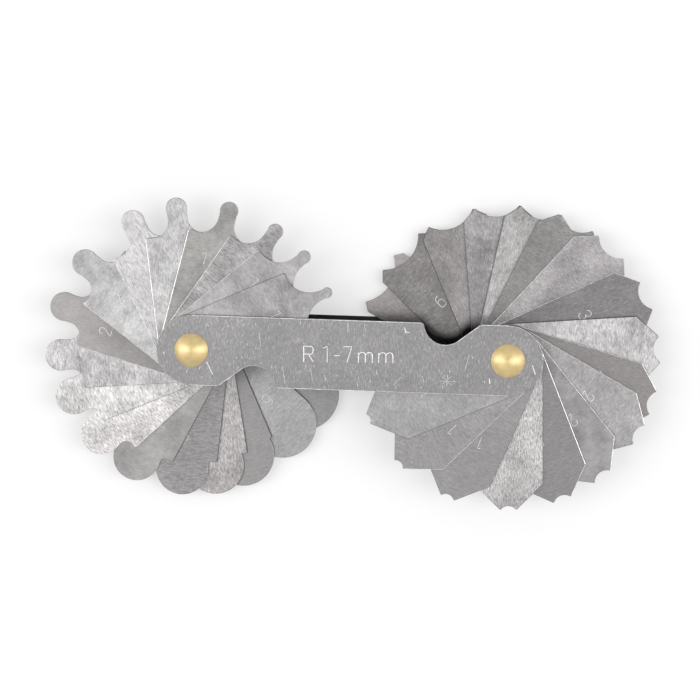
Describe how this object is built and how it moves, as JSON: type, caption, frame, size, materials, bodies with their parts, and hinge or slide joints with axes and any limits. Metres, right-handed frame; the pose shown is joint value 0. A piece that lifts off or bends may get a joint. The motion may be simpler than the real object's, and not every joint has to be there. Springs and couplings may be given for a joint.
{
  "type": "radius gauge",
  "caption": "Radius gauge: two fans of thin steel blades on brass rivets between holder plates, one fan with round heads for inside radii, one with round notches for outside radii.",
  "frame": {"origin": "on the rear plate's outer face, midway between the two rivet axes", "axes": "+X runs along the holder from the round-headed fan to the notched fan, +Z points out of the front plate along the rivets, +Y is across the holder"},
  "size_m": [0.1162, 0.0571, 0.0124],
  "materials": {
    "ground_steel": "satin ground",
    "rivet_brass": "polished"
  },
  "bodies": {
    "holder": {"front_plate": "ground_steel", "rear_plate": "ground_steel", "left_rivet": "rivet_brass", "right_rivet": "rivet_brass"},
    "convex_blade_r1": {"convex_blade_r1": "ground_steel"},
    "concave_blade_r1": {"concave_blade_r1": "ground_steel"},
    "convex_blade_r1_25": {"convex_blade_r1_25": "ground_steel"},
    "concave_blade_r1_25": {"concave_blade_r1_25": "ground_steel"},
    "convex_blade_r1_5": {"convex_blade_r1_5": "ground_steel"},
    "concave_blade_r1_5": {"concave_blade_r1_5": "ground_steel"},
    "convex_blade_r1_75": {"convex_blade_r1_75": "ground_steel"},
    "concave_blade_r1_75": {"concave_blade_r1_75": "ground_steel"},
    "convex_blade_r2": {"convex_blade_r2": "ground_steel"},
    "concave_blade_r2": {"concave_blade_r2": "ground_steel"},
    "convex_blade_r2_25": {"convex_blade_r2_25": "ground_steel"},
    "concave_blade_r2_25": {"concave_blade_r2_25": "ground_steel"},
    "convex_blade_r2_5": {"convex_blade_r2_5": "ground_steel"},
    "concave_blade_r2_5": {"concave_blade_r2_5": "ground_steel"},
    "convex_blade_r2_75": {"convex_blade_r2_75": "ground_steel"},
    "concave_blade_r2_75": {"concave_blade_r2_75": "ground_steel"},
    "convex_blade_r3": {"convex_blade_r3": "ground_steel"},
    "concave_blade_r3": {"concave_blade_r3": "ground_steel"},
    "convex_blade_r3_5": {"convex_blade_r3_5": "ground_steel"},
    "concave_blade_r3_5": {"concave_blade_r3_5": "ground_steel"},
    "convex_blade_r4": {"convex_blade_r4": "ground_steel"},
    "concave_blade_r4": {"concave_blade_r4": "ground_steel"},
    "convex_blade_r4_5": {"convex_blade_r4_5": "ground_steel"},
    "concave_blade_r4_5": {"concave_blade_r4_5": "ground_steel"},
    "convex_blade_r5": {"convex_blade_r5": "ground_steel"},
    "concave_blade_r5": {"concave_blade_r5": "ground_steel"},
    "convex_blade_r5_5": {"convex_blade_r5_5": "ground_steel"},
    "concave_blade_r5_5": {"concave_blade_r5_5": "ground_steel"},
    "convex_blade_r6": {"convex_blade_r6": "ground_steel"},
    "concave_blade_r6": {"concave_blade_r6": "ground_steel"},
    "convex_blade_r6_5": {"convex_blade_r6_5": "ground_steel"},
    "concave_blade_r6_5": {"concave_blade_r6_5": "ground_steel"},
    "convex_blade_r7": {"convex_blade_r7": "ground_steel"},
    "concave_blade_r7": {"concave_blade_r7": "ground_steel"}
  },
  "joints": [
    {"name": "convex_blade_r1_hinge", "type": "hinge", "parent": "holder", "child": "convex_blade_r1", "pos_m": [-0.02962, 0, 0.00976], "axis": [0, 0, 1], "range_deg": [-24.7, 335.3]},
    {"name": "concave_blade_r1_hinge", "type": "hinge", "parent": "holder", "child": "concave_blade_r1", "pos_m": [0.02962, 0, 0.00976], "axis": [0, 0, 1], "range_deg": [-24.7, 335.3]},
    {"name": "convex_blade_r1_25_hinge", "type": "hinge", "parent": "holder", "child": "convex_blade_r1_25", "pos_m": [-0.02962, 0, 0.00923], "axis": [0, 0, 1], "range_deg": [-41.2, 318.8]},
    {"name": "concave_blade_r1_25_hinge", "type": "hinge", "parent": "holder", "child": "concave_blade_r1_25", "pos_m": [0.02962, 0, 0.00923], "axis": [0, 0, 1], "range_deg": [-45.8, 314.2]},
    {"name": "convex_blade_r1_5_hinge", "type": "hinge", "parent": "holder", "child": "convex_blade_r1_5", "pos_m": [-0.02962, 0, 0.0087], "axis": [0, 0, 1], "range_deg": [-56.4, 303.6]},
    {"name": "concave_blade_r1_5_hinge", "type": "hinge", "parent": "holder", "child": "concave_blade_r1_5", "pos_m": [0.02962, 0, 0.0087], "axis": [0, 0, 1], "range_deg": [-68.4, 291.6]},
    {"name": "convex_blade_r1_75_hinge", "type": "hinge", "parent": "holder", "child": "convex_blade_r1_75", "pos_m": [-0.02962, 0, 0.00817], "axis": [0, 0, 1], "range_deg": [-76.7, 283.3]},
    {"name": "concave_blade_r1_75_hinge", "type": "hinge", "parent": "holder", "child": "concave_blade_r1_75", "pos_m": [0.02962, 0, 0.00817], "axis": [0, 0, 1], "range_deg": [-92.1, 267.9]},
    {"name": "convex_blade_r2_hinge", "type": "hinge", "parent": "holder", "child": "convex_blade_r2", "pos_m": [-0.02962, 0, 0.00764], "axis": [0, 0, 1], "range_deg": [-98.3, 261.7]},
    {"name": "concave_blade_r2_hinge", "type": "hinge", "parent": "holder", "child": "concave_blade_r2", "pos_m": [0.02962, 0, 0.00764], "axis": [0, 0, 1], "range_deg": [-113, 247]},
    {"name": "convex_blade_r2_25_hinge", "type": "hinge", "parent": "holder", "child": "convex_blade_r2_25", "pos_m": [-0.02962, 0, 0.00711], "axis": [0, 0, 1], "range_deg": [-117.2, 242.8]},
    {"name": "concave_blade_r2_25_hinge", "type": "hinge", "parent": "holder", "child": "concave_blade_r2_25", "pos_m": [0.02962, 0, 0.00711], "axis": [0, 0, 1], "range_deg": [-130.6, 229.4]},
    {"name": "convex_blade_r2_5_hinge", "type": "hinge", "parent": "holder", "child": "convex_blade_r2_5", "pos_m": [-0.02962, 0, 0.00658], "axis": [0, 0, 1], "range_deg": [-143.6, 216.4]},
    {"name": "concave_blade_r2_5_hinge", "type": "hinge", "parent": "holder", "child": "concave_blade_r2_5", "pos_m": [0.02962, 0, 0.00658], "axis": [0, 0, 1], "range_deg": [-151.8, 208.2]},
    {"name": "convex_blade_r2_75_hinge", "type": "hinge", "parent": "holder", "child": "convex_blade_r2_75", "pos_m": [-0.02962, 0, 0.00605], "axis": [0, 0, 1], "range_deg": [-164.3, 195.7]},
    {"name": "concave_blade_r2_75_hinge", "type": "hinge", "parent": "holder", "child": "concave_blade_r2_75", "pos_m": [0.02962, 0, 0.00605], "axis": [0, 0, 1], "range_deg": [-164.9, 195.1]},
    {"name": "convex_blade_r3_hinge", "type": "hinge", "parent": "holder", "child": "convex_blade_r3", "pos_m": [-0.02962, 0, 0.00552], "axis": [0, 0, 1], "range_deg": [-185.2, 174.8]},
    {"name": "concave_blade_r3_hinge", "type": "hinge", "parent": "holder", "child": "concave_blade_r3", "pos_m": [0.02962, 0, 0.00552], "axis": [0, 0, 1], "range_deg": [-185.3, 174.7]},
    {"name": "convex_blade_r3_5_hinge", "type": "hinge", "parent": "holder", "child": "convex_blade_r3_5", "pos_m": [-0.02962, 0, 0.00499], "axis": [0, 0, 1], "range_deg": [-203.8, 156.2]},
    {"name": "concave_blade_r3_5_hinge", "type": "hinge", "parent": "holder", "child": "concave_blade_r3_5", "pos_m": [0.02962, 0, 0.00499], "axis": [0, 0, 1], "range_deg": [-206.3, 153.7]},
    {"name": "convex_blade_r4_hinge", "type": "hinge", "parent": "holder", "child": "convex_blade_r4", "pos_m": [-0.02962, 0, 0.00446], "axis": [0, 0, 1], "range_deg": [-224.3, 135.7]},
    {"name": "concave_blade_r4_hinge", "type": "hinge", "parent": "holder", "child": "concave_blade_r4", "pos_m": [0.02962, 0, 0.00446], "axis": [0, 0, 1], "range_deg": [-229, 131]},
    {"name": "convex_blade_r4_5_hinge", "type": "hinge", "parent": "holder", "child": "convex_blade_r4_5", "pos_m": [-0.02962, 0, 0.00393], "axis": [0, 0, 1], "range_deg": [-243.3, 116.7]},
    {"name": "concave_blade_r4_5_hinge", "type": "hinge", "parent": "holder", "child": "concave_blade_r4_5", "pos_m": [0.02962, 0, 0.00393], "axis": [0, 0, 1], "range_deg": [-245.3, 114.7]},
    {"name": "convex_blade_r5_hinge", "type": "hinge", "parent": "holder", "child": "convex_blade_r5", "pos_m": [-0.02962, 0, 0.0034], "axis": [0, 0, 1], "range_deg": [-264.9, 95.1]},
    {"name": "concave_blade_r5_hinge", "type": "hinge", "parent": "holder", "child": "concave_blade_r5", "pos_m": [0.02962, 0, 0.0034], "axis": [0, 0, 1], "range_deg": [-259.3, 100.7]},
    {"name": "convex_blade_r5_5_hinge", "type": "hinge", "parent": "holder", "child": "convex_blade_r5_5", "pos_m": [-0.02962, 0, 0.00287], "axis": [0, 0, 1], "range_deg": [-280.4, 79.6]},
    {"name": "concave_blade_r5_5_hinge", "type": "hinge", "parent": "holder", "child": "concave_blade_r5_5", "pos_m": [0.02962, 0, 0.00287], "axis": [0, 0, 1], "range_deg": [-276, 84]},
    {"name": "convex_blade_r6_hinge", "type": "hinge", "parent": "holder", "child": "convex_blade_r6", "pos_m": [-0.02962, 0, 0.00234], "axis": [0, 0, 1], "range_deg": [-294.5, 65.5]},
    {"name": "concave_blade_r6_hinge", "type": "hinge", "parent": "holder", "child": "concave_blade_r6", "pos_m": [0.02962, 0, 0.00234], "axis": [0, 0, 1], "range_deg": [-294.3, 65.7]},
    {"name": "convex_blade_r6_5_hinge", "type": "hinge", "parent": "holder", "child": "convex_blade_r6_5", "pos_m": [-0.02962, 0, 0.00181], "axis": [0, 0, 1], "range_deg": [-319.2, 40.8]},
    {"name": "concave_blade_r6_5_hinge", "type": "hinge", "parent": "holder", "child": "concave_blade_r6_5", "pos_m": [0.02962, 0, 0.00181], "axis": [0, 0, 1], "range_deg": [-317.6, 42.4]},
    {"name": "convex_blade_r7_hinge", "type": "hinge", "parent": "holder", "child": "convex_blade_r7", "pos_m": [-0.02962, 0, 0.00128], "axis": [0, 0, 1], "range_deg": [-337, 23]},
    {"name": "concave_blade_r7_hinge", "type": "hinge", "parent": "holder", "child": "concave_blade_r7", "pos_m": [0.02962, 0, 0.00128], "axis": [0, 0, 1], "range_deg": [-330.8, 29.2]}
  ]
}
